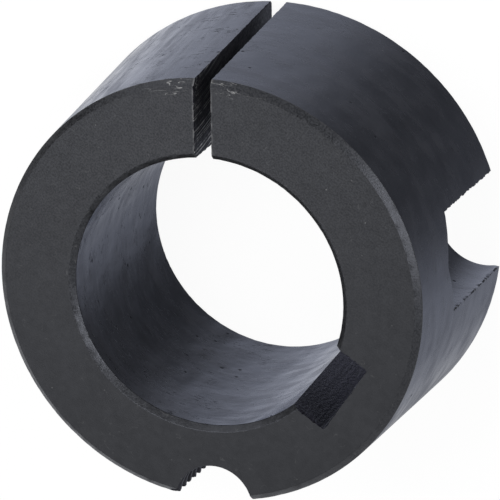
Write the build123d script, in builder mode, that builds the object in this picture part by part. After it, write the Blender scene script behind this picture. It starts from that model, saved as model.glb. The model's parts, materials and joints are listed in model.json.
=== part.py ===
from build123d import *
import os
from math import radians, tan

# Tapered split bushing, one piece of cast iron, in millimetres.
# It stands on its large end: +Z runs along the bore to the small end, and +X
# through the middle of the keyway. Angles are counter-clockwise from +X, seen
# on the small end.

# Bore for the shaft
bore_diameter = 28.0
bore_chamfer = 0.55

# Turned body: its wall at the large end makes that end 47.625 mm across
large_end_wall = 9.8125
length = 25.4
taper_half_angle = 4.0
small_end_chamfer = 0.65
large_end_chamfer = 0.4

# Keyway for a parallel key
key_width = 8.0
keyway_depth = 3.3
keyway_corner_radius = 0.2

# Saw cut through one side of the wall, which lets the bushing close on its shaft
split_width = 1.7
split_angle = 124.5

# Screw axes, just inside the edge of the large end
screw_axis_inset = 1.5875

# Plain half-holes for the locking screws, drilled from the large end
locking_hole_count = 2
locking_hole_diameter = 10.3
locking_hole_depth = 14.8
locking_hole_angle = 39.6
drill_point_angle = 135.0

# Half-hole for the removal screw, right through, at the size drilled for its thread
removal_hole_diameter = 7.94
removal_hole_angle = 305.2

# How far a cutter reaches past the wall that it cuts through
cutter_overrun = 1.0

# Sizes that follow from those above
bore_radius = bore_diameter / 2
large_end_radius = bore_radius + large_end_wall
small_end_radius = large_end_radius - length * tan(radians(taper_half_angle))
keyway_floor_radius = bore_radius + keyway_depth
screw_axis_radius = large_end_radius - screw_axis_inset
locking_hole_radius = locking_hole_diameter / 2
drill_point_height = locking_hole_radius / tan(radians(drill_point_angle / 2))


def turned_circles(blank, end):
    """The circles of the large end (0) or the small end (-1), from the bore outwards."""
    circles = blank.edges().filter_by(GeomType.CIRCLE)
    return circles.group_by(Axis.Z)[end].sort_by(SortBy.RADIUS)


with BuildPart() as tapered_bushing:
    # Turned blank: the section of the wall, carried round the bore axis
    with BuildSketch(Plane.XZ):
        with BuildLine():
            Polyline(
                (bore_radius, 0),
                (large_end_radius, 0),
                (small_end_radius, length),
                (bore_radius, length),
                close=True,
            )
        make_face()
    revolve(axis=Axis.Z)

    # Edges broken on the lathe
    chamfer(turned_circles(tapered_bushing, 0)[-1], large_end_chamfer)
    chamfer(turned_circles(tapered_bushing, -1)[-1], small_end_chamfer)
    chamfer(turned_circles(tapered_bushing, 0)[0], bore_chamfer)
    chamfer(turned_circles(tapered_bushing, -1)[0], bore_chamfer)

    # Keyway, broached through the bore
    with BuildSketch(Plane.XY) as keyway:
        Rectangle(keyway_floor_radius, key_width, align=(Align.MIN, Align.CENTER))
        fillet(keyway.vertices().group_by(Axis.X)[-1], keyway_corner_radius)
    extrude(amount=length, mode=Mode.SUBTRACT)

    # Saw cut, from the bore to the outside
    with BuildSketch(Plane.XY.rotated((0, 0, split_angle))):
        Rectangle(large_end_radius + cutter_overrun, split_width, align=(Align.MIN, Align.CENTER))
    extrude(amount=length, mode=Mode.SUBTRACT)

    # Locking half-holes, blind, each ending in the drill's point
    with BuildSketch(Plane.XY):
        with PolarLocations(screw_axis_radius, locking_hole_count, locking_hole_angle):
            Circle(locking_hole_radius)
    extrude(amount=locking_hole_depth, mode=Mode.SUBTRACT)
    with Locations(Plane.XY.offset(locking_hole_depth)):
        with PolarLocations(screw_axis_radius, locking_hole_count, locking_hole_angle):
            Cone(
                locking_hole_radius,
                0,
                drill_point_height,
                align=(Align.CENTER, Align.CENTER, Align.MIN),
                mode=Mode.SUBTRACT,
            )

    # Removal half-hole, drilled right through
    with BuildSketch(Plane.XY.rotated((0, 0, removal_hole_angle))):
        with Locations((screw_axis_radius, 0)):
            Circle(removal_hole_diameter / 2)
    extrude(amount=length, mode=Mode.SUBTRACT)

os.makedirs("parts", exist_ok=True)
tapered_bushing.part.label = "tapered_bushing"
export_step(tapered_bushing.part, "parts/tapered_bushing.step")
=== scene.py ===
import json
from math import cos, pi, radians, sin, tan

import bpy
import numpy as np
from bpy.props import FloatProperty, FloatVectorProperty, PointerProperty
from bpy.types import Operator, Panel, PropertyGroup
from mathutils import Matrix, Vector


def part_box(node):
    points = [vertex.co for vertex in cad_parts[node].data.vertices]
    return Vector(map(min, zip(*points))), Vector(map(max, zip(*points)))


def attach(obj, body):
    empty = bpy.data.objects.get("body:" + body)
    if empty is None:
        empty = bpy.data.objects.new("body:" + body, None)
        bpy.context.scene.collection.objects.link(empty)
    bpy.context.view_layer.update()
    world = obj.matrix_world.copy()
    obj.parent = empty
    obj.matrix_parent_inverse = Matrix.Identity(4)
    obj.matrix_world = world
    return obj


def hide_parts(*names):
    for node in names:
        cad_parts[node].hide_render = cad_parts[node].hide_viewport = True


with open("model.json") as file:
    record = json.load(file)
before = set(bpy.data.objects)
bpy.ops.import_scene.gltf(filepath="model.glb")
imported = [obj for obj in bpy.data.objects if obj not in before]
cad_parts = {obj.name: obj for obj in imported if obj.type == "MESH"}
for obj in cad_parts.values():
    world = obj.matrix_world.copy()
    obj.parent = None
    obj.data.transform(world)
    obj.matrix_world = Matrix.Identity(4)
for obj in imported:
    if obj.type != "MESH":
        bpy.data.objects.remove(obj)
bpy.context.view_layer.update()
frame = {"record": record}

bl_info = {
    "name": "Tapered split bushing",
    "version": (1, 0, 0),
    "blender": (4, 5, 0),
    "location": "3D View > Sidebar > Bushing",
    "description": "Machines the blackened iron bushing in detail and sets up its studio",
    "category": "Object",
}

# Lengths are in metres. The bushing stands on its large end, +Z runs along the
# bore to the small end, and +X through the middle of the keyway. Angles are
# counter-clockwise from +X, seen on the small end.
MM = 0.001
NODE = "tapered_bushing"
MOUNTS = {mount["name"]: mount for mount in frame["record"]["mounts"]}

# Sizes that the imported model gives
BOX_LOW, BOX_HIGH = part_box(NODE)
LENGTH = BOX_HIGH[2] - BOX_LOW[2]
BORE_RADIUS = MOUNTS["bore"]["dims"]["r_mm"] * MM
KEYWAY_FLOOR_RADIUS = MOUNTS["keyway"]["pos_m"][0]
LOCKING_AXIS = MOUNTS["locking_holes"]["pos_m"][:2]
REMOVAL_AXIS = MOUNTS["removal_hole"]["pos_m"][:2]

# Sizes that repeat those of the solid
TAPER = radians(4.0)
LARGE_END_CHAMFER = 0.4 * MM
SMALL_END_CHAMFER = 0.65 * MM
BORE_CHAMFER = 0.55 * MM
KEY_WIDTH = 8.0 * MM
KEYWAY_CORNER_RADIUS = 0.2 * MM
SPLIT_WIDTH = 1.7 * MM
SPLIT_ANGLE = radians(124.5)
SPLIT_WAY = (cos(SPLIT_ANGLE), sin(SPLIT_ANGLE), 0)
LOCKING_HOLE_RADIUS = 5.15 * MM
LOCKING_HOLE_DEPTH = 14.8 * MM
DRILL_POINT_ANGLE = radians(135.0)
LARGE_END_RADIUS = (BOX_HIGH[0] - BOX_LOW[0]) / 2 + LARGE_END_CHAMFER * sin(TAPER)

# How far a cutter reaches past the end faces
OVERRUN = 1.0 * MM

# The bushing mirrors a white studio with four darker sides and a brighter one. A row gives the
# azimuth and elevation of a side's middle and the half angle that it reaches, in degrees, and the
# share by which it is darker than white there, below 0 where it is brighter
SIDES = (
    (59.0, -64.3, 34.0, 0.74),
    (-61.0, -64.3, 34.0, 0.5),
    (192.0, 2.0, 24.0, 1.0),
    (224.0, -12.0, 22.0, 0.4),
    (155.0, 14.0, 28.0, -1.6),
)
# Half angle within which a side has its full depth
SIDE_CORE = radians(7.0)

# The point in the bore that the camera looks at, and the width of its sensor in millimetres
CAMERA_TARGET = Vector((-0.0351, 0.6539, 12.3927)) * MM
SENSOR_WIDTH = 36.0

# The slitting saw's centre: its distance from the bore's axis and height above the large end
SAW_CENTRE = 65.6 * MM
SAW_HEIGHT = 30.0 * MM

# Between these two values of a noise lies most of its pattern
CONTRAST = (0.3, 0.7)

# The finishes, in the order of the body's material slots
END_FACE, TURNED_EDGE, TURNED_TAPER, BORED_WALL = range(4)
BROACHED_KEYWAY, SAWN_SPLIT, DRILLED_HOLE, TAPPED_THREAD = range(4, 8)


class BushingSizes(PropertyGroup):
    """The small forms that the machining leaves on the body."""

    edge_rounding: FloatProperty(
        name="Edge rounding",
        description="Radius of the turned edges, worn by handling",
        default=0.12 * MM,
        min=0.02 * MM,
        unit="LENGTH",
    )
    edge_wear: FloatProperty(
        name="Edge wear",
        description="Depth of the dents along the turned edges",
        default=0.015 * MM,
        min=0.0,
        unit="LENGTH",
    )
    cut_break: FloatProperty(
        name="Cut edge break",
        description="How far the edges of the keyway, split and holes are broken",
        default=0.12 * MM,
        min=0.02 * MM,
        unit="LENGTH",
    )
    thread_pitch: FloatProperty(
        name="Thread pitch",
        description="Pitch of the thread in the removal hole, 16 to the inch",
        default=1.5875 * MM,
        unit="LENGTH",
    )
    thread_diameter: FloatProperty(
        name="Thread diameter",
        description="Outer diameter of the thread in the removal hole",
        default=9.525 * MM,
        unit="LENGTH",
    )
    drilled_diameter: FloatProperty(
        name="Drilled diameter",
        description="Diameter over the thread's crests, as drilled",
        default=7.94 * MM,
        unit="LENGTH",
    )
    thread_phase: FloatProperty(
        name="Thread phase",
        description="Where in its turn the thread stands at the large end, as a share of a turn",
        default=0.37,
        subtype="FACTOR",
    )
    saw_spacing: FloatProperty(
        name="Saw mark spacing",
        description="Distance between the arcs on the split's walls",
        default=0.40 * MM,
        unit="LENGTH",
    )
    saw_depth: FloatProperty(
        name="Saw mark depth",
        description="Depth of the arcs on the split's walls",
        default=0.008 * MM,
        unit="LENGTH",
    )


class BushingFinish(PropertyGroup):
    """The colours of the blackened iron, as linear light."""

    face_colour: FloatVectorProperty(
        name="End faces",
        description="Coating on the ground end faces and the turned chamfers",
        subtype="COLOR",
        size=3,
        default=(0.036, 0.037, 0.0405),
    )
    turned_colour: FloatVectorProperty(
        name="Turned and bored walls",
        description="Oiled black coating on the turned and bored walls and in the locking holes",
        subtype="COLOR",
        size=3,
        default=(0.033, 0.034, 0.039),
    )
    sheen_colour: FloatVectorProperty(
        name="Edge-on tint",
        description="Blue tint of the coating where light grazes it",
        subtype="COLOR",
        size=3,
        default=(0.82, 0.86, 1.0),
    )
    cut_colour: FloatVectorProperty(
        name="Sawn and broached walls",
        description="Dark coating in the split, the keyway and the thread",
        subtype="COLOR",
        size=3,
        default=(0.010, 0.010, 0.014),
    )
    bare_colour: FloatVectorProperty(
        name="Bare iron",
        description="Bright iron where the coating is scratched or chipped",
        subtype="COLOR",
        size=3,
        default=(0.42, 0.42, 0.42),
    )


class BushingStage(PropertyGroup):
    """The camera and the light."""

    floor_colour: FloatVectorProperty(
        name="Floor",
        description="Pale floor that the bushing stands on",
        subtype="COLOR",
        size=3,
        default=(0.80, 0.80, 0.80),
    )
    floor_shadow: FloatProperty(
        name="Floor shadow",
        description="Share of the floor's brightness that comes from the lamps, and so shows the shadow",
        default=0.07,
        min=0.0,
        max=1.0,
        subtype="FACTOR",
    )
    world_strength: FloatProperty(
        name="World strength",
        description="Brightness of the even light all round",
        default=0.38,
    )
    gloss_strength: FloatProperty(
        name="Gloss strength",
        description="Brightness of the surround where the bushing mirrors it",
        default=1.04,
    )
    camera_azimuth: FloatProperty(
        name="Camera azimuth",
        description="Direction of the camera from the bushing, from +X",
        default=radians(80.755),
        subtype="ANGLE",
    )
    camera_elevation: FloatProperty(
        name="Camera elevation",
        description="Height of the camera's line above the floor",
        default=radians(64.344),
        subtype="ANGLE",
    )
    camera_roll: FloatProperty(
        name="Camera roll",
        description="Turn of the camera's top to its right about its own line",
        default=radians(134.409),
        subtype="ANGLE",
    )
    camera_distance: FloatProperty(
        name="Camera distance",
        description="Distance from the camera to the point that it looks at",
        default=373.956 * MM,
        unit="LENGTH",
    )
    camera_lens: FloatProperty(
        name="Camera lens",
        description="Focal length in millimetres, for the camera's 36 mm sensor",
        default=262.945,
    )


# Shapes, as arrays of points


def waves(points, wavelength, seed, count=28):
    """Smooth noise: a sum of plane waves through the points, each of a seeded direction,
    phase and length near the given one, scaled to a spread of one."""
    random = np.random.default_rng(seed)
    direction = random.normal(size=(count, 3))
    direction /= np.linalg.norm(direction, axis=1, keepdims=True)
    number = 2 * pi / (wavelength * random.uniform(0.6, 1.7, count))
    phase = random.uniform(0, 2 * pi, count)
    angle = points @ (direction * number[:, None]).T + phase
    return np.sin(angle).sum(axis=-1) * (2 / count) ** 0.5


def rounded_loop(corners, radii, steps=4, guard=0.0):
    """A closed outline whose corners are arcs: each arc touches both of its sides, and its
    points run from one side to the other about a centre on the corner's bisector. With a
    guard, one more point stands that far along each side from the arc."""
    corners = np.array(corners)
    radii = np.array(radii)[:, None]
    back = np.roll(corners, 1, axis=0) - corners
    ahead = np.roll(corners, -1, axis=0) - corners
    back /= np.linalg.norm(back, axis=1, keepdims=True)
    ahead /= np.linalg.norm(ahead, axis=1, keepdims=True)
    half = np.arccos(np.clip((back * ahead).sum(axis=1, keepdims=True), -1, 1)) / 2
    middle = (back + ahead) / np.linalg.norm(back + ahead, axis=1, keepdims=True)
    side = (back - ahead) / np.linalg.norm(back - ahead, axis=1, keepdims=True)
    centre = corners + middle * radii / np.sin(half)
    turn = (pi / 2 - half)[:, :, None] * np.linspace(1, -1, steps)[None, :, None]
    arm = side[:, None, :] * np.sin(turn) - middle[:, None, :] * np.cos(turn)
    arcs = centre[:, None, :] + radii[:, :, None] * arm
    if guard:
        before = arcs[:, :1] + guard * back[:, None, :]
        after = arcs[:, -1:] + guard * ahead[:, None, :]
        arcs = np.concatenate((before, arcs, after), axis=1)
    return arcs.reshape(-1, 2)


def graded(low, high, end_step, middle_step, band):
    """Positions from low to high: one end step apart within a band at each end, and about one
    middle step apart between the bands."""
    near = np.arange(low, low + band, end_step)
    far = high - (near - low)[::-1]
    count = max(2, round((high - low - 2 * band) / middle_step) + 1)
    between = np.linspace(low + band, high - band, count)
    return np.unique(np.round(np.concatenate((near, between, far)), 8))


def taper_radius(height):
    """Radius of the cone at a height above the large end."""
    return LARGE_END_RADIUS - height * tan(TAPER)


def broken(reach, *distances):
    """How far a cut's wall steps back near its edges: a parabola that starts at the reach from
    an edge, and a straight line beyond the edge itself. Where two edges are near, their
    parabolas add up, which rounds the corner."""
    inside = sum(np.clip(1 - distance / reach, 0, 1) ** 2 for distance in distances)
    beyond = sum(np.clip(-distance, 0, None) for distance in distances)
    return reach * inside / 2 + beyond


def grid_quads(rows, columns, closed_rows=False):
    """Quads between the neighbours of a grid whose columns close on themselves. With closed
    rows, the last row joins the first."""
    row = np.arange(rows if closed_rows else rows - 1)
    row, column = np.meshgrid(row, np.arange(columns), indexing="ij")
    row_after = (row + 1) % rows
    column_after = (column + 1) % columns
    corners = (row * columns + column, row * columns + column_after)
    corners += (row_after * columns + column_after, row_after * columns + column)
    return np.stack(corners, axis=-1).reshape(-1, 4)


def volume_of(points, quads):
    """Six times the signed volume under the quads, each taken as two triangles."""
    a, b, c, d = (points[quads[:, corner]] for corner in range(4))
    return (np.cross(b - a, c - a) * a).sum() + (np.cross(c - a, d - a) * a).sum()


def put_mesh(name, grid, closed_rows, slots):
    """A closed mesh object from a grid of points: a ring, or a tube capped at both ends. The
    slots are the finishes of its faces in order, or one for all."""
    rows, columns = grid.shape[:2]
    points = grid.reshape(-1, 3)
    quads = grid_quads(rows, columns, closed_rows)
    first = np.arange(columns)
    last = first + (rows - 1) * columns
    if volume_of(points - points.mean(axis=0), quads) < 0:
        quads = quads[:, ::-1]
        first, last = last, first
    caps = [] if closed_rows else [first[::-1].tolist(), last.tolist()]
    mesh = bpy.data.meshes.new(name)
    mesh.from_pydata(points.tolist(), [], quads.tolist() + caps)
    finishes = np.resize(slots, len(mesh.polygons)).astype(np.int32)
    mesh.polygons.foreach_set("material_index", finishes)
    mesh.update()
    body = bpy.data.objects.new(name, mesh)
    bpy.context.scene.collection.objects.link(body)
    return body


def turned_blank(sizes):
    """The turned wall: its section, with rounded corners, is carried round the bore's axis.
    The corners are dented towards the section's middle by smooth noise and a few sharper nicks."""
    small_end_radius = taper_radius(LENGTH)
    down, out = cos(TAPER), sin(TAPER)
    corners = (
        (BORE_RADIUS + BORE_CHAMFER, 0),
        (LARGE_END_RADIUS - LARGE_END_CHAMFER, 0),
        (LARGE_END_RADIUS - LARGE_END_CHAMFER * out, LARGE_END_CHAMFER * down),
        (small_end_radius + SMALL_END_CHAMFER * out, LENGTH - SMALL_END_CHAMFER * down),
        (small_end_radius - SMALL_END_CHAMFER, LENGTH),
        (BORE_RADIUS + BORE_CHAMFER, LENGTH),
        (BORE_RADIUS, LENGTH - BORE_CHAMFER),
        (BORE_RADIUS, BORE_CHAMFER),
    )
    around, arc_steps, guard = 576, 5, 0.06 * MM
    section = rounded_loop(corners, [sizes.edge_rounding] * len(corners), arc_steps, guard)
    steps = arc_steps + 2
    on_arc = np.tile(np.pad(np.ones(arc_steps), 1), len(corners))[:, None]
    angle = np.linspace(0, 2 * pi, around, endpoint=False)
    radius, height = section[:, :1], section[:, 1:]
    grid = np.stack((radius * np.cos(angle), radius * np.sin(angle), height + 0 * angle), axis=-1)
    middle = np.array([(BORE_RADIUS + taper_radius(LENGTH / 2)) / 2, LENGTH / 2])
    inward = middle - section
    inward /= np.linalg.norm(inward, axis=1, keepdims=True)
    # The nicks are where a finer noise rises above twice its spread
    hollows = np.clip(waves(grid, 1.1 * MM, seed=3), 0, None)
    nicks = np.clip(waves(grid, 0.5 * MM, seed=4) - 2.0, 0, None)
    dent = (hollows + 2.5 * nicks) * on_arc * sizes.edge_wear
    grid[..., 0] += inward[:, :1] * dent * np.cos(angle)
    grid[..., 1] += inward[:, :1] * dent * np.sin(angle)
    grid[..., 2] += inward[:, 1:] * dent
    # Each corner's arc takes the finish of the surface after it, its first guard that of the one before
    after = np.array(
        (END_FACE, TURNED_EDGE, TURNED_TAPER, TURNED_EDGE, END_FACE, TURNED_EDGE, BORED_WALL, TURNED_EDGE)
    )
    rows = np.repeat(after[:, None], steps, axis=1)
    rows[:, 0] = np.roll(after, 1)
    slots = np.repeat(rows.ravel(), len(angle))
    return put_mesh("bushing_blank", grid, closed_rows=True, slots=slots)


def keyway_cutter(sizes):
    """A rounded rectangle from inside the bore to the keyway's floor, carried along the bore.
    It widens at both ends, where its edges are broken and chipped by noise, and has shallow
    marks along the bore from the broach."""
    height = np.union1d(
        graded(-OVERRUN, LENGTH + OVERRUN, end_step=0.25 * MM, middle_step=0.8 * MM, band=2 * OVERRUN),
        graded(0, LENGTH, end_step=0.06 * MM, middle_step=0.8 * MM, band=0.6 * MM),
    )
    half_width = KEY_WIDTH / 2
    start = BORE_RADIUS - 3 * MM
    corners = (
        (start, -half_width),
        (KEYWAY_FLOOR_RADIUS, -half_width),
        (KEYWAY_FLOOR_RADIUS, half_width),
        (start, half_width),
    )
    loop = rounded_loop(corners, [KEYWAY_CORNER_RADIUS] * 4, steps=6)
    # Each straight of the loop is parted into even steps
    spacing = 0.14 * MM
    after = np.roll(loop, -1, axis=0)
    count = np.maximum(1, np.round(np.hypot(*(after - loop).T) / spacing)).astype(int)
    share = np.concatenate([np.arange(parts) / parts for parts in count])[:, None]
    loop = np.repeat(loop, count, axis=0) * (1 - share) + np.repeat(after, count, axis=0) * share
    grid = np.empty((len(height), len(loop), 3))
    grid[..., :2] = loop
    grid[..., 2] = height[:, None]
    edge = np.minimum(height, LENGTH - height)[:, None]
    chips = np.clip(waves(grid, 0.9 * MM, seed=11) + 0.7 * waves(grid, 0.3 * MM, seed=12), 0, 2.5)
    chip_depth, chip_reach = 0.05 * MM, 0.4 * MM
    back = broken(sizes.cut_break * 0.6, edge)
    back = back + chip_depth * chips * np.clip(1 - edge / chip_reach, 0, 1)
    mark_depth = 0.006 * MM
    marks = mark_depth * waves(grid * (1, 1, 0.02), 0.25 * MM, seed=13)
    # Points on a wall move straight out of it, and those of a rounded corner out of both its walls
    from_middle = loop - np.array(((start + KEYWAY_FLOOR_RADIUS) / 2, 0))
    half_size = np.array((KEYWAY_FLOOR_RADIUS - start, KEY_WIDTH)) / 2
    wall_band = KEYWAY_CORNER_RADIUS + 0.01 * MM
    outward = np.where(np.abs(from_middle) > half_size - wall_band, np.sign(from_middle), 0)
    grid[..., :2] += outward * np.clip(back + marks, -0.02 * MM, 0.4 * MM)[..., None]
    return put_mesh("keyway_cutter", grid, closed_rows=False, slots=[BROACHED_KEYWAY])


def split_cutter(sizes):
    """A slab from the bore to the outside, whose two walls are stepped back along their
    edges and grooved by the arcs of the saw: equal distances from the saw's centre."""
    height = np.union1d(
        graded(-OVERRUN, LENGTH + OVERRUN, end_step=0.25 * MM, middle_step=1.0 * MM, band=2 * OVERRUN),
        graded(0, LENGTH, end_step=0.05 * MM, middle_step=0.17 * MM, band=0.3 * MM),
    )
    # Shares of the way from the bore to the taper, and a few beyond both
    share = graded(0, 1, end_step=0.006, middle_step=0.019, band=0.04)
    share = np.concatenate(((-0.12, -0.05, -0.01), share, (1.01, 1.05, 1.12)))
    reach = taper_radius(height)[:, None] - BORE_RADIUS
    along = BORE_RADIUS + reach * share
    high = height[:, None] + 0 * along
    ends = np.minimum(high, LENGTH - high)
    sides = np.minimum(along - BORE_RADIUS, reach * (1 - share))
    from_saw = np.hypot(along - SAW_CENTRE, high - SAW_HEIGHT)
    walls = []
    for side in (1, -1):
        place = np.stack((along, side * np.full_like(along, SPLIT_WIDTH), high), axis=-1)
        # Coordinates in which noise is drawn out along the saw's arcs
        arcs = np.stack((from_saw, 0.02 * along + 0 * high, 0.01 * high + side * MM), axis=-1)
        swing = 0.8 * waves(arcs, 1.3 * MM, seed=21)
        groove = 0.6 * np.sin(2 * pi * from_saw / sizes.saw_spacing + swing)
        groove += 0.8 * waves(arcs, sizes.saw_spacing, seed=22) + 0.3 * waves(place, 0.5 * MM, seed=23)
        ragged = 1 + 0.5 * waves(place, 0.7 * MM, seed=24)
        back = broken(sizes.cut_break, ends, sides) * np.clip(ragged, 0.3, 2.5)
        away = SPLIT_WIDTH / 2 + np.clip(back, 0, 0.5 * MM) - sizes.saw_depth * (0.5 - 0.5 * groove)
        walls.append(np.stack((along, side * away, high), axis=-1))
    grid = np.concatenate((walls[0], walls[1][:, ::-1]), axis=1)
    turn = np.array(((cos(SPLIT_ANGLE), sin(SPLIT_ANGLE)), (-sin(SPLIT_ANGLE), cos(SPLIT_ANGLE))))
    grid[..., :2] = grid[..., :2] @ turn
    return put_mesh("split_cutter", grid, closed_rows=False, slots=[SAWN_SPLIT])


def hole_points(axis, radius, height, angle):
    """Points round an upright axis: a radius for each height and angle."""
    grid = np.empty((len(height), len(angle), 3))
    grid[..., 0] = axis[0] + radius * np.cos(angle)
    grid[..., 1] = axis[1] + radius * np.sin(angle)
    grid[..., 2] = height[:, None]
    return grid


def mouth_break(axis, radius, height, angle, reach, ragged):
    """How far a hole's wall steps back near its edges. Along the taper the break is made ragged
    by noise, at the end faces it is even, and where both meet the corner is rounded more."""
    grid = hole_points(axis, radius, height, angle)
    inside = taper_radius(height)[:, None] - np.hypot(grid[..., 0], grid[..., 1])
    ends = np.minimum(height, LENGTH - height)[:, None]
    rough = 1 + ragged * (0.8 * waves(grid, 0.8 * MM, seed=31) + 0.7 * waves(grid, 0.3 * MM, seed=32))
    corner_reach, deepest = 3 * reach, 0.6 * MM
    corner = np.clip(1 - inside / corner_reach, 0, 1) * np.clip(1 - ends / corner_reach, 0, 1)
    back = broken(reach, inside) * np.clip(rough, 0.1, 4) + corner_reach * corner**2
    back = back + broken(0.6 * reach, ends)
    return np.clip(back, 0, deepest)


def drill_cutter(sizes, turn):
    """A drilled blind hole: a tube about its axis that closes in a cone at the drill's point.
    Its edge on the taper is ragged. The turn is 1 for the first hole and -1 for the one opposite."""
    axis = [turn * place for place in LOCKING_AXIS]
    point = LOCKING_HOLE_RADIUS / tan(DRILL_POINT_ANGLE / 2)
    wall = graded(-OVERRUN, LOCKING_HOLE_DEPTH, end_step=0.08 * MM, middle_step=0.22 * MM, band=1.4 * MM)
    radius = np.full(len(wall), LOCKING_HOLE_RADIUS)
    # Shares of the way up the drill's point, which stays open by a hair
    cone = np.linspace(0, 0.995, 12)[1:]
    height = np.concatenate((wall, LOCKING_HOLE_DEPTH + cone * point))
    radius = np.concatenate((radius, LOCKING_HOLE_RADIUS * (1 - cone)))[:, None]
    around = 144
    angle = np.linspace(0, 2 * pi, around, endpoint=False)
    back = mouth_break(axis, radius, height, angle, reach=1.8 * sizes.cut_break, ragged=1.1)
    back = back * radius / LOCKING_HOLE_RADIUS
    grid = hole_points(axis, radius + back, height, angle)
    return put_mesh("drill_cutter", grid, closed_rows=False, slots=[DRILLED_HOLE])


def tap_cutter(sizes):
    """The removal hole's thread: the radius swings between the drilled and the outer one with
    the phase of a right-handed helix, with flanks at 30 degrees and eased corners."""
    around, steps_in_pitch = 150, 13
    height = np.union1d(
        np.arange(-OVERRUN, LENGTH + OVERRUN, sizes.thread_pitch / steps_in_pitch),
        graded(0, LENGTH, end_step=0.05 * MM, middle_step=1.0 * MM, band=0.2 * MM),
    )
    start = np.arctan2(REMOVAL_AXIS[1], REMOVAL_AXIS[0])
    angle = start + np.linspace(0, 2 * pi, around, endpoint=False)
    crest = sizes.drilled_diameter / 2
    depth = sizes.thread_diameter / 2 - crest
    phase = (height[:, None] / sizes.thread_pitch - angle / (2 * pi) + sizes.thread_phase) % 1
    across = np.abs(phase - 0.5) * sizes.thread_pitch
    root_half_width = sizes.thread_pitch / 16
    flank = np.clip(1 - (across - root_half_width) / (depth * tan(radians(30))), 0, 1)
    eased = flank**2 * (3 - 2 * flank)
    radius = crest + depth * (0.5 * flank + 0.5 * eased)
    back = mouth_break(REMOVAL_AXIS, radius, height, angle, reach=sizes.cut_break, ragged=1.1)
    grid = hole_points(REMOVAL_AXIS, radius + back, height, angle)
    return put_mesh("tap_cutter", grid, closed_rows=False, slots=[TAPPED_THREAD])


def cut(body, cutter):
    """Takes the cutter out of the body. The new walls keep the cutter's finish, because both
    have the same list of finishes."""
    for finish in body.data.materials:
        cutter.data.materials.append(finish)
    boolean = body.modifiers.new("cut", "BOOLEAN")
    boolean.operation = "DIFFERENCE"
    boolean.solver = "MANIFOLD"
    boolean.object = cutter
    apply_modifiers(body)
    bpy.data.objects.remove(cutter)


def apply_modifiers(body):
    """Replaces the body's mesh by the one that its modifiers give."""
    shown = body.evaluated_get(bpy.context.evaluated_depsgraph_get())
    mesh = bpy.data.meshes.new_from_object(shown)
    body.modifiers.clear()
    body.data = mesh


# Materials


class Channel:
    """A node's output. Arithmetic on it adds Math nodes to the same material."""

    def __init__(self, surface, socket):
        self.surface = surface
        self.socket = socket

    def math(self, operation, *values):
        return self.surface.node("ShaderNodeMath", {"operation": operation}, dict(enumerate(values)))

    def __add__(self, other):
        return self.math("ADD", self, other)

    def __radd__(self, other):
        return self.math("ADD", other, self)

    def __sub__(self, other):
        return self.math("SUBTRACT", self, other)

    def __rsub__(self, other):
        return self.math("SUBTRACT", other, self)

    def __mul__(self, other):
        return self.math("MULTIPLY", self, other)

    def __rmul__(self, other):
        return self.math("MULTIPLY", other, self)

    def __abs__(self):
        return self.math("ABSOLUTE", self)

    def __pow__(self, other):
        return self.math("POWER", self, other)


class Recipe:
    """A node tree, and the one way in which nodes are added to it."""

    def __init__(self, tree):
        self.tree = tree
        tree.nodes.clear()

    def node(self, kind, settings=None, inputs=None, output=0):
        """Adds a node: its settings first, then the values or links of its sockets."""
        node = self.tree.nodes.new(kind)
        for name, value in (settings or {}).items():
            setattr(node, name, value)
        for key, value in (inputs or {}).items():
            if isinstance(value, Channel):
                self.tree.links.new(value.socket, node.inputs[key])
            else:
                node.inputs[key].default_value = value
        return Channel(self, node.outputs[output]) if node.outputs else None

    def step(self, value, low, high):
        """A smooth step: 0 at low, 1 at high."""
        settings = {"interpolation_type": "SMOOTHSTEP"}
        return self.node("ShaderNodeMapRange", settings, {0: value, 1: low, 2: high, 3: 0.0, 4: 1.0})

    def seen_by(self, *rays):
        """1 for these kinds of ray, such as Camera, and 0 for the others."""
        kinds = [self.node("ShaderNodeLightPath", output=f"Is {ray} Ray") for ray in rays]
        return sum(kinds[1:], kinds[0])


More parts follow.
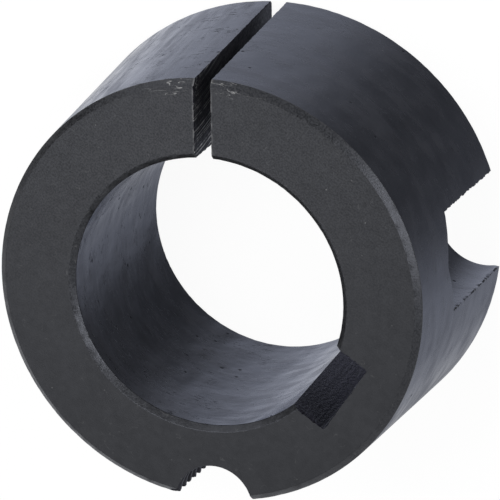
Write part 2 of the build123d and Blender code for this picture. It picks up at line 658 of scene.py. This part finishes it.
class Surface(Recipe):
    """One material, with the coordinates and noises that the finishes share."""

    def __init__(self, name):
        self.material = bpy.data.materials.new(name)
        self.material.use_nodes = True
        super().__init__(self.material.node_tree)
        self.place = self.node("ShaderNodeTexCoord", output="Object")

    def stretched(self, x, y, z):
        """The object coordinates, scaled along each axis."""
        return self.node("ShaderNodeVectorMath", {"operation": "MULTIPLY"}, {0: self.place, 1: (x, y, z)})

    def moved(self, place, shift):
        """Coordinates moved by one length along each axis, to use another part of a pattern."""
        return self.node("ShaderNodeVectorMath", {"operation": "ADD"}, {0: place, 1: (shift,) * 3})

    def noise(self, size, detail=2.0, roughness=0.6, place=None, shift=0.0):
        """Noise whose patches are about one size across, from 0 to 1 about 0.5."""
        place = self.moved(place or self.place, shift)
        inputs = {"Vector": place, "Scale": 1 / size, "Detail": detail, "Roughness": roughness}
        return self.node("ShaderNodeTexNoise", None, inputs, "Fac")

    def patches(self, size, roughness=0.6, place=None, shift=0.0):
        """Noise of more contrast, mostly near 0 or 1."""
        noise = self.noise(size, roughness=roughness, place=place, shift=shift)
        return self.step(noise, *CONTRAST)

    def hairs(self, size, width, place=None, shift=0.0):
        """Thin curling lines, 1 where a noise of that size is within a width of its middle."""
        return 1 - self.step(abs(self.noise(size, place=place, shift=shift) - 0.5), 0.0, width)

    def spots(self, spacing, radius, share, shift=0.0):
        """Sparse spots: 1 inside a radius of the cell centres of a random pattern, in a share
        of its cells."""
        inputs = {"Vector": self.moved(self.place, shift), "Scale": 1 / spacing}
        distance = self.node("ShaderNodeTexVoronoi", None, inputs, "Distance")
        colour = self.node("ShaderNodeTexVoronoi", None, inputs, "Color")
        chance = self.node("ShaderNodeSeparateColor", None, {0: colour})
        inside = 1 - self.step(distance * spacing, radius * 0.4, radius)
        return inside * self.node("ShaderNodeMath", {"operation": "LESS_THAN"}, {0: chance, 1: share})

    def along(self, way):
        """How far a point lies in a direction: the dot product with its unit vector."""
        pair = {0: self.place, 1: tuple(way)}
        return self.node("ShaderNodeVectorMath", {"operation": "DOT_PRODUCT"}, pair, "Value")

    def across_split(self):
        """Distance from the split's middle plane, positive on its counter-clockwise side."""
        return self.along((-sin(SPLIT_ANGLE), cos(SPLIT_ANGLE), 0))

    def from_axis(self):
        """Distance from the bore's axis."""
        flat = self.stretched(1, 1, 0)
        return self.node("ShaderNodeVectorMath", {"operation": "LENGTH"}, {0: flat}, "Value")

    def mixed(self, factor, first, second):
        """The first colour where the factor is 0, the second where it is 1."""
        settings = {"data_type": "RGBA"}
        return self.node("ShaderNodeMix", settings, {0: factor, 6: opaque(first), 7: opaque(second)}, 2)

    def shaded(self, colour, amount):
        """A colour times a number."""
        return self.node("ShaderNodeVectorMath", {"operation": "SCALE"}, {0: colour, 3: amount})

    def finish(self, colour, roughness, metallic, height, tint, specular=0.3):
        """Puts the colour, roughness and height on a metal shader and returns the material.
        The height is in millimetres."""
        bump = {"Strength": 1.0, "Distance": MM, "Height": height}
        values = {
            "Base Color": colour,
            "Roughness": roughness,
            "Metallic": metallic,
            "Specular Tint": opaque(tint),
            "Specular IOR Level": specular,
            "Normal": self.node("ShaderNodeBump", None, bump),
        }
        shader = self.node("ShaderNodeBsdfPrincipled", None, values)
        self.node("ShaderNodeOutputMaterial", None, {"Surface": shader})
        return self.material


def opaque(colour):
    """A colour as the four numbers of a colour socket; a channel as it is."""
    return colour if isinstance(colour, Channel) else (*colour[:3], 1.0)


def ground_iron(name, colours, brightness, grit, dullness, specular, wear):
    """A finely grained coating with a soft mottle, pale specks and thin pale scratches.
    The brightness scales its colour, grit is the contrast of its grain, which grows towards the
    split, the dullness is its least roughness, and wear is the share of iron in a scratch."""
    surface = Surface(name)
    toward = surface.along(SPLIT_WAY)
    grain = surface.patches(0.18 * MM)
    mottle = surface.noise(3.0 * MM, detail=3.0)
    patch = surface.patches(0.9 * MM, shift=0.4)
    coarse = grit + 0.50 * surface.step(toward, -12 * MM, 18 * MM)
    tone = (0.62 + coarse * (grain - 0.5) + 0.24 * mottle + 0.11 * patch) * brightness
    specks = surface.spots(1.6 * MM, 0.10 * MM, 0.45)
    scratch = surface.hairs(1.6 * MM, 0.012, shift=0.9)
    scratch = scratch * surface.step(surface.noise(1.2 * MM, roughness=0.5, shift=0.5), 0.58, 0.66)
    # Beside the split, curls of bare iron drawn out across it near the rim, and rubbed edges
    across = surface.across_split()
    radius = surface.from_axis()
    split_side = surface.step(toward, 0.0, 5 * MM)
    drawn = surface.node("ShaderNodeCombineXYZ", None, {0: 0.22 * across, 1: radius, 2: 0.0})
    scuff = surface.hairs(0.9 * MM, 0.010, drawn, 1.1)
    scuff = scuff * surface.step(radius, 20.4 * MM, 21.0 * MM) * split_side
    scuff = scuff * (1 - surface.step(abs(across), 4.0 * MM, 7.0 * MM))
    scuff = scuff * surface.step(surface.noise(0.8 * MM, 3.0, 0.7, shift=0.2), 0.36, 0.58)
    rubbed = (1 - surface.step(abs(across), 0.9 * MM, 1.12 * MM)) * split_side
    rubbed = rubbed * surface.step(surface.noise(0.7 * MM, shift=0.1), 0.35, 0.6)
    bare = 0.17 * specks + wear * scratch + 0.6 * scuff + 0.14 * rubbed
    colour = surface.mixed(bare, surface.shaded(tuple(colours.face_colour), tone), colours.bare_colour)
    roughness = dullness + 0.08 * mottle + 0.16 * grain
    height = 0.008 * grain + 0.003 * patch
    return surface.finish(
        colour, roughness, metallic=0.2, height=height, tint=colours.sheen_colour, specular=specular
    )


def end_face_iron(colours):
    """The ground end faces, matt."""
    return ground_iron(
        "end_face", colours, brightness=1.0, grit=0.12, dullness=0.50, specular=0.12, wear=0.05
    )


def turned_edge_iron(colours):
    """The chamfers between the end faces and the turned walls, smoother and more scratched."""
    return ground_iron(
        "turned_edge", colours, brightness=0.53, grit=0.7, dullness=0.24, specular=0.3, wear=0.08
    )


def turned_iron(name, colours, brightness, pits, chips, ripple, tooling, drawn):
    """Turned walls: a satin, oiled coating, softly clouded and wiped in streaks, with fine tool
    lines, short dark scratches, small dark pits and a few pale specks. The streaks run round the
    bore or, as far as drawn says, along it on the split's counter-clockwise side. The brightness
    scales the colour, pits is the share of cells with a pit, chips the share of iron in a speck,
    ripple scales the soft waves, and tooling is the tool lines' height in millimetres."""
    surface = Surface(name)
    cloud = surface.noise(5.0 * MM, 1.0, 0.5, surface.stretched(1.3, 1.3, 0.7))
    smear = surface.noise(1.8 * MM, shift=0.7)
    lines = surface.noise(0.16 * MM, roughness=0.7, place=surface.stretched(0.04, 0.04, 1))
    grain = surface.noise(0.22 * MM, roughness=0.7)
    beyond_split = surface.step(surface.across_split(), -MM, MM)
    round_about = surface.noise(1.7 * MM, 2.0, 0.5, surface.stretched(0.35, 0.35, 1), 0.35)
    lengthways = surface.noise(0.9 * MM, 3.0, 0.65, surface.stretched(1, 1, 0.1), 0.35)
    wiped = round_about + drawn * beyond_split * (lengthways - round_about)
    wiped = surface.step(wiped, *CONTRAST)
    pitted = surface.spots(2.0 * MM, 0.26 * MM, pits, shift=0.2)
    dashes = surface.noise(0.30 * MM, place=surface.stretched(0.3, 0.3, 1.6), shift=0.5)
    clusters = surface.step(surface.noise(3.0 * MM, 1.0, 0.5, shift=0.15), 0.46, 0.60)
    dashes = surface.step(dashes, 0.60, 0.68) * (0.3 + 0.7 * beyond_split) * clusters
    marks = surface.node("ShaderNodeMath", {"operation": "MAXIMUM"}, {0: pitted, 1: 0.8 * dashes})
    specks = surface.spots(2.2 * MM, 0.08 * MM, 0.3, shift=0.6)
    tone = 0.3 + 0.6 * cloud + 0.4 * smear + 0.3 * grain + 0.1 * wiped
    colour = surface.shaded(tuple(colours.turned_colour), tone)
    colour = surface.shaded(colour, brightness * (1 - 0.9 * marks))
    colour = surface.mixed(chips * specks, colour, colours.bare_colour)
    roughness = 0.02 + 0.16 * cloud + 0.14 * smear + 0.14 * wiped + 0.40 * marks
    height = tooling * lines + 0.0015 * grain - 0.02 * marks
    height = height + ripple * (0.04 * cloud + 0.008 * smear + 0.002 * wiped)
    return surface.finish(
        colour, roughness, metallic=0.85, height=height, tint=colours.sheen_colour
    )


def turned_taper_iron(colours):
    """The cone that seats in the hub."""
    return turned_iron(
        "turned_taper",
        colours,
        brightness=1.0,
        pits=0.15,
        chips=0.25,
        ripple=2.4,
        tooling=0.0015,
        drawn=1.0,
    )


def bored_wall_iron(colours):
    """The bore, more pitted than the cone, its colour painted darker than the cone's as the shade inside
    it.
    """
    return turned_iron(
        "bored_wall",
        colours,
        # Painted shade: the bore's colour is 0.8 of the cone's, for the shade inside the bore
        brightness=0.8,
        pits=0.35,
        chips=0.05,
        ripple=6.0,
        tooling=0.0015,
        drawn=0.0,
    )


def cut_iron(colours, shade, bright, dullness, relief):
    """Sawn, broached and tapped walls: a dark dry coating with a rough grain. The shade is a
    channel that scales its colour, bright says where newly cut iron shows through, painted paler
    than bare iron as a glint, the dullness is its least roughness, and relief is the grain's
    height in millimetres."""
    surface = shade.surface
    grain = surface.patches(0.3 * MM, roughness=0.7)
    colour = surface.shaded(tuple(colours.cut_colour), shade * (0.5 + grain))
    # Newly cut iron, painted 1.4 times paler than bare iron as a glint
    fresh_and_glint_colour = [1.4 * part for part in colours.bare_colour]
    colour = surface.mixed(bright, colour, fresh_and_glint_colour)
    roughness = dullness + 0.2 * grain
    return surface.finish(
        colour, roughness, metallic=0.7, height=relief * grain, tint=colours.sheen_colour
    )


def broached_keyway_iron(colours):
    """The keyway: rough, and painted paler away from the small end as light coming up into it from below.
    """
    surface = Surface("broached_keyway")
    # Painted light: the colour grows several times paler towards the large end, for the light that comes
    # up into the keyway from below
    below = surface.step(LENGTH - surface.along((0, 0, 1)), 0.0, 0.5 * LENGTH)
    streak = surface.patches(0.20 * MM, place=surface.stretched(1, 1, 0.7))
    shade = 0.9 + 0.9 * streak + 4.0 * below
    return cut_iron(colours, shade, bright=0.0, dullness=0.40, relief=0.03)


def sawn_split_iron(colours):
    """The split: bright ridges of newly cut iron, painted paler than bare iron as glints, follow the
    saw's arcs, at equal distances from its centre. They fade at the small end and deep in the
    split, and hairs of metal take their place outside."""
    surface = Surface("sawn_split")
    across = surface.along(SPLIT_WAY) - SAW_CENTRE
    height = surface.along((0, 0, 1))
    up = height - SAW_HEIGHT
    distance = (across * across + up * up) ** 0.5
    inputs = {"W": distance, "Scale": 1 / (0.2 * MM), "Detail": 1.0}
    ridge = surface.node("ShaderNodeTexNoise", {"noise_dimensions": "1D"}, inputs, "Fac")
    patch = surface.noise(1.5 * MM)
    bright = surface.step(ridge, 0.53, 0.61) * surface.step(patch, 0.30, 0.55)
    bright = bright * surface.step(height, 0.4 * LENGTH, 0.8 * LENGTH)
    bright = bright * (0.35 + 0.65 * surface.step(LENGTH - height, 0.3 * MM, 1.3 * MM))
    outer = surface.step(surface.along(SPLIT_WAY), 17.5 * MM, 19.5 * MM)
    hair = surface.hairs(1.2 * MM, 0.015, shift=0.8)
    hair = hair * outer * surface.step(height, 0.88 * LENGTH, 0.95 * LENGTH)
    # Ridges and hairs of metal show newly cut iron, painted paler than bare iron as glints; the ridges
    # also lift the coating's colour
    fresh_and_glint = (1 - 0.8 * outer) * bright + 0.6 * hair
    return cut_iron(colours, 0.7 + bright, bright=fresh_and_glint, dullness=0.40, relief=0.01)


def drilled_hole_iron(colours):
    """The locking holes, with deeper tool lines than the turned walls."""
    return turned_iron(
        "drilled_hole",
        colours,
        brightness=0.9,
        pits=0.3,
        chips=0.05,
        ripple=1.5,
        tooling=0.005,
        drawn=1.0,
    )


def tapped_thread_iron(colours):
    """The thread, dark with cutting oil."""
    surface = Surface("tapped_thread")
    patch = surface.noise(0.8 * MM)
    return cut_iron(colours, 0.5 + patch, bright=0.04 * patch, dullness=0.45, relief=0.01)


# Operators


class BUSHING_OT_body(Operator):
    """Machines the detailed body: the turned blank less the keyway, split, holes and thread"""

    bl_idname = "bushing.body"
    bl_label = "Bushing body"

    def execute(self, context):
        sizes = context.scene.bushing_sizes
        colours = context.scene.bushing_finish
        body = turned_blank(sizes)
        for iron in (
            end_face_iron,
            turned_edge_iron,
            turned_taper_iron,
            bored_wall_iron,
            broached_keyway_iron,
            sawn_split_iron,
            drilled_hole_iron,
            tapped_thread_iron,
        ):
            body.data.materials.append(iron(colours))
        for cutter in (
            keyway_cutter(sizes),
            split_cutter(sizes),
            drill_cutter(sizes, 1),
            drill_cutter(sizes, -1),
            tap_cutter(sizes),
        ):
            cut(body, cutter)
        body.name = "tapered_bushing_body"
        body.data.shade_smooth()
        sharpest_smooth_edge = radians(32)
        body.data.set_sharp_from_angle(angle=sharpest_smooth_edge)
        even = body.modifiers.new("flat faces stay flat", "WEIGHTED_NORMAL")
        even.keep_sharp = True
        apply_modifiers(body)
        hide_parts(NODE)
        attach(body, "root")
        return {"FINISHED"}


def bearing(azimuth, elevation):
    """The unit vector towards an azimuth from +X and a height above the floor's line."""
    return Vector((cos(azimuth) * cos(elevation), sin(azimuth) * cos(elevation), sin(elevation)))


def add_lamp(name, azimuth, elevation, distance, width, height, power):
    """A soft box that faces the bushing's middle from an azimuth and elevation in degrees. Its
    power is in watts."""
    lamp = bpy.data.lights.new(name, "AREA")
    lamp.shape = "RECTANGLE"
    lamp.size = width
    lamp.size_y = height
    lamp.energy = power
    box = bpy.data.objects.new(name, lamp)
    way = bearing(radians(azimuth), radians(elevation))
    box.location = distance * way + Vector((0, 0, LENGTH / 2))
    box.rotation_euler = way.to_track_quat("Z", "Y").to_euler()
    bpy.context.scene.collection.objects.link(box)


class BUSHING_OT_stage(Operator):
    """Sets up the pale floor, the even light round it, the soft boxes and the camera"""

    bl_idname = "bushing.stage"
    bl_label = "Studio"

    def execute(self, context):
        stage = context.scene.bushing_stage
        self.lay_floor(stage)
        self.light(context.scene, stage)
        self.place_camera(context.scene, stage)
        context.scene.view_settings.view_transform = "Standard"
        return {"FINISHED"}

    def lay_floor(self, stage):
        """A wide flat floor, just clear of the large end. The camera sees it lifted to white where no
        shadow falls, glossy rays pass through it, and the rest of the light sees its plain colour.
        It can't be seen from below."""
        half_width, height = 1.5, -0.02 * MM
        corners = [half_width * Vector(way) for way in ((-1, -1), (1, -1), (1, 1), (-1, 1))]
        mesh = bpy.data.meshes.new("floor")
        mesh.from_pydata([(*corner, height) for corner in corners], [], [(0, 1, 2, 3)])
        floor = bpy.data.objects.new("floor", mesh)
        bpy.context.scene.collection.objects.link(floor)
        surface = Surface("pale_floor")
        seen = surface.seen_by("Camera", "Glossy", "Transmission")
        plain = surface.node("ShaderNodeBsdfDiffuse", None, {"Color": opaque(stage.floor_colour)})
        # The light lifts a white floor to about 1 / 1.3 of full white beside the bushing
        lit_share = [1.3 * stage.floor_shadow] * 3
        lit = surface.node("ShaderNodeBsdfDiffuse", None, {"Color": opaque(lit_share)})
        glow = surface.node("ShaderNodeEmission", None, {"Strength": 1 - stage.floor_shadow})
        white = surface.node("ShaderNodeAddShader", None, {0: lit, 1: glow})
        shader = surface.node("ShaderNodeMixShader", None, {0: seen, 1: plain, 2: white})
        below = surface.node("ShaderNodeNewGeometry", output="Backfacing")
        clear = surface.node("ShaderNodeBsdfTransparent")
        shader = surface.node("ShaderNodeMixShader", None, {0: below, 1: shader, 2: clear})
        surface.node("ShaderNodeOutputMaterial", None, {"Surface": shader})
        mesh.materials.append(surface.material)
        floor.visible_glossy = False

    def light(self, scene, stage):
        """Even light from the world, white to the camera and in gloss except on its darker
        and brighter sides, and three soft boxes."""
        world = bpy.data.worlds.new("studio")
        world.use_nodes = True
        scene.world = world
        sky = Recipe(world.node_tree)
        camera = sky.seen_by("Camera")
        gloss = sky.seen_by("Glossy", "Transmission")
        way = sky.node("ShaderNodeTexCoord", output="Generated")
        white = stage.gloss_strength
        for azimuth, elevation, reach, depth in SIDES:
            middle = tuple(bearing(radians(azimuth), radians(elevation)))
            towards = {0: way, 1: middle}
            near = sky.node("ShaderNodeVectorMath", {"operation": "DOT_PRODUCT"}, towards, "Value")
            white = white * (1 - depth * sky.step(near, cos(radians(reach)), cos(SIDE_CORE)))
        strength = camera + gloss * white + (1 - camera - gloss) * stage.world_strength
        background = sky.node("ShaderNodeBackground", None, {"Color": (1, 1, 1, 1), "Strength": strength})
        sky.node("ShaderNodeOutputWorld", None, {"Surface": background})
        add_lamp("key box", 240, 40, distance=0.60, width=0.50, height=0.50, power=0.22)
        add_lamp("near box", 165, 72, distance=0.085, width=0.05, height=0.05, power=0.050)
        add_lamp("edge box", 50, 23, distance=0.50, width=0.38, height=0.12, power=1.65)

    def place_camera(self, scene, stage):
        """The camera looks at a point in the bore from its azimuth and elevation, and rolls
        about that line."""
        way = bearing(stage.camera_azimuth, stage.camera_elevation)
        right = (-way).cross(Vector((0, 0, 1))).normalized()
        up = right.cross(-way)
        turned_up = cos(stage.camera_roll) * up + sin(stage.camera_roll) * right
        turned_right = (-way).cross(turned_up)
        rotation = Matrix((turned_right, turned_up, way)).transposed().to_4x4()
        data = bpy.data.cameras.new("camera")
        data.sensor_width = SENSOR_WIDTH
        data.lens = stage.camera_lens
        data.clip_start = 10 * MM
        camera = bpy.data.objects.new("camera", data)
        place = CAMERA_TARGET + way * stage.camera_distance
        camera.matrix_world = Matrix.Translation(place) @ rotation
        scene.collection.objects.link(camera)
        scene.camera = camera


class BUSHING_PT_parts(Panel):
    """Lists the bushing's operators and sizes in the sidebar"""

    bl_idname = "BUSHING_PT_parts"
    bl_label = "Tapered split bushing"
    bl_space_type = "VIEW_3D"
    bl_region_type = "UI"
    bl_category = "Bushing"

    def draw(self, context):
        layout = self.layout
        for operator in (BUSHING_OT_body, BUSHING_OT_stage):
            layout.operator(operator.bl_idname)
        scene = context.scene
        for group in (scene.bushing_sizes, scene.bushing_finish, scene.bushing_stage):
            box = layout.box()
            for name in group.__annotations__:
                box.prop(group, name)


CLASSES = (BushingSizes, BushingFinish, BushingStage, BUSHING_OT_body, BUSHING_OT_stage, BUSHING_PT_parts)


def register():
    for cls in CLASSES:
        bpy.utils.register_class(cls)
    bpy.types.Scene.bushing_sizes = PointerProperty(type=BushingSizes)
    bpy.types.Scene.bushing_finish = PointerProperty(type=BushingFinish)
    bpy.types.Scene.bushing_stage = PointerProperty(type=BushingStage)


def unregister():
    del bpy.types.Scene.bushing_stage
    del bpy.types.Scene.bushing_finish
    del bpy.types.Scene.bushing_sizes
    for cls in reversed(CLASSES):
        bpy.utils.unregister_class(cls)


def main():
    register()
    bpy.ops.bushing.body()
    bpy.ops.bushing.stage()


if __name__ == "__main__":
    main()
